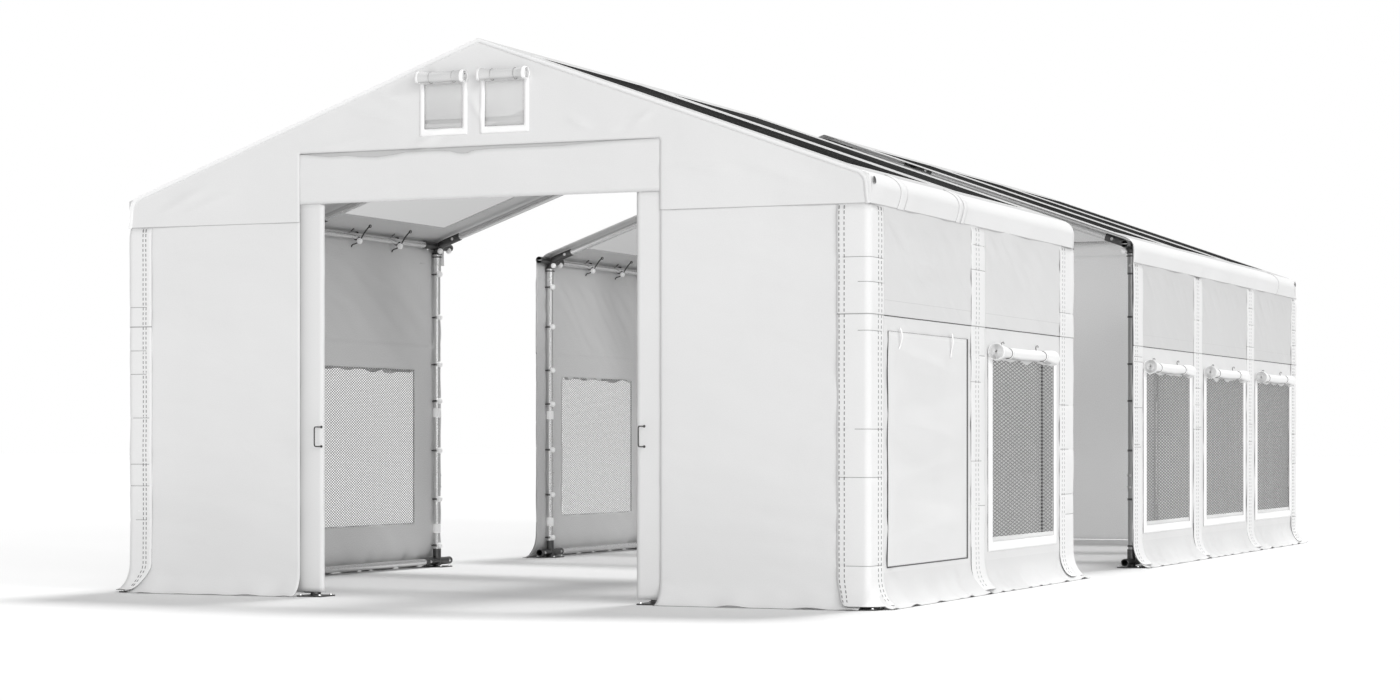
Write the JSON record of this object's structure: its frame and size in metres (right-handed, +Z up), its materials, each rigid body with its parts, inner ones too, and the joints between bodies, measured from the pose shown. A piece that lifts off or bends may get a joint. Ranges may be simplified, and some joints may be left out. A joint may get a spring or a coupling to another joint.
{
  "type": "marquee tent",
  "caption": "White gabled marquee tent on a galvanised tube frame, with an open doorway, net windows, roof skylights and one open bay between its two sections.",
  "frame": {"origin": "on the ground, in the middle of the tent's footprint", "axes": "+X across the tent to the right as seen from the front, +Y along the tent to the rear end, +Z up; the front gable with the doorway faces -Y"},
  "size_m": [5.2598, 12.1984, 3.3735],
  "materials": {
    "white_fabric": "coated white tarpaulin, satin",
    "clear_foil": "clear flexible window foil",
    "grey_net": "fine insect net",
    "galvanised_steel": "galvanised tube, satin",
    "dark_steel": "dark coated wire"
  },
  "bodies": {
    "root": {"roof_frame_front": "galvanised_steel", "roof_frame_rear": "galvanised_steel", "post_1_left": "galvanised_steel", "post_1_right": "galvanised_steel", "post_2_left": "galvanised_steel", "post_2_right": "galvanised_steel", "post_3_left": "galvanised_steel", "post_3_right": "galvanised_steel", "post_4_left": "galvanised_steel", "post_4_right": "galvanised_steel", "post_5_left": "galvanised_steel", "post_5_right": "galvanised_steel", "post_6_left": "galvanised_steel", "post_6_right": "galvanised_steel", "post_7_left": "galvanised_steel", "post_7_right": "galvanised_steel", "door_post_front_left": "galvanised_steel", "ground_frame_front_left": "galvanised_steel", "door_post_front_right": "galvanised_steel", "ground_frame_front_right": "galvanised_steel", "door_post_rear_left": "galvanised_steel", "ground_frame_rear_left": "galvanised_steel", "door_post_rear_right": "galvanised_steel", "ground_frame_rear_right": "galvanised_steel", "roof_sheet_front": "white_fabric", "skylight_foil_front": "clear_foil", "gable_front": "white_fabric", "gable_panes_front": "clear_foil", "front_wall_left": "white_fabric", "side_wall_front_left": "white_fabric", "window_net_front_left": "grey_net", "front_wall_right": "white_fabric", "side_wall_front_right": "white_fabric", "window_net_front_right": "grey_net", "roof_sheet_rear": "white_fabric", "skylight_foil_rear": "clear_foil", "gable_rear": "white_fabric", "gable_panes_rear": "clear_foil", "rear_wall_left": "white_fabric", "side_wall_rear_left": "white_fabric", "window_net_rear_left": "grey_net", "rear_wall_right": "white_fabric", "side_wall_rear_right": "white_fabric", "window_net_rear_right": "grey_net", "window_cover_right": "white_fabric", "door_surround_front": "white_fabric", "closed_door_rear": "white_fabric", "door_handle_left": "dark_steel", "door_handle_right": "dark_steel"}
  },
  "joints": []
}
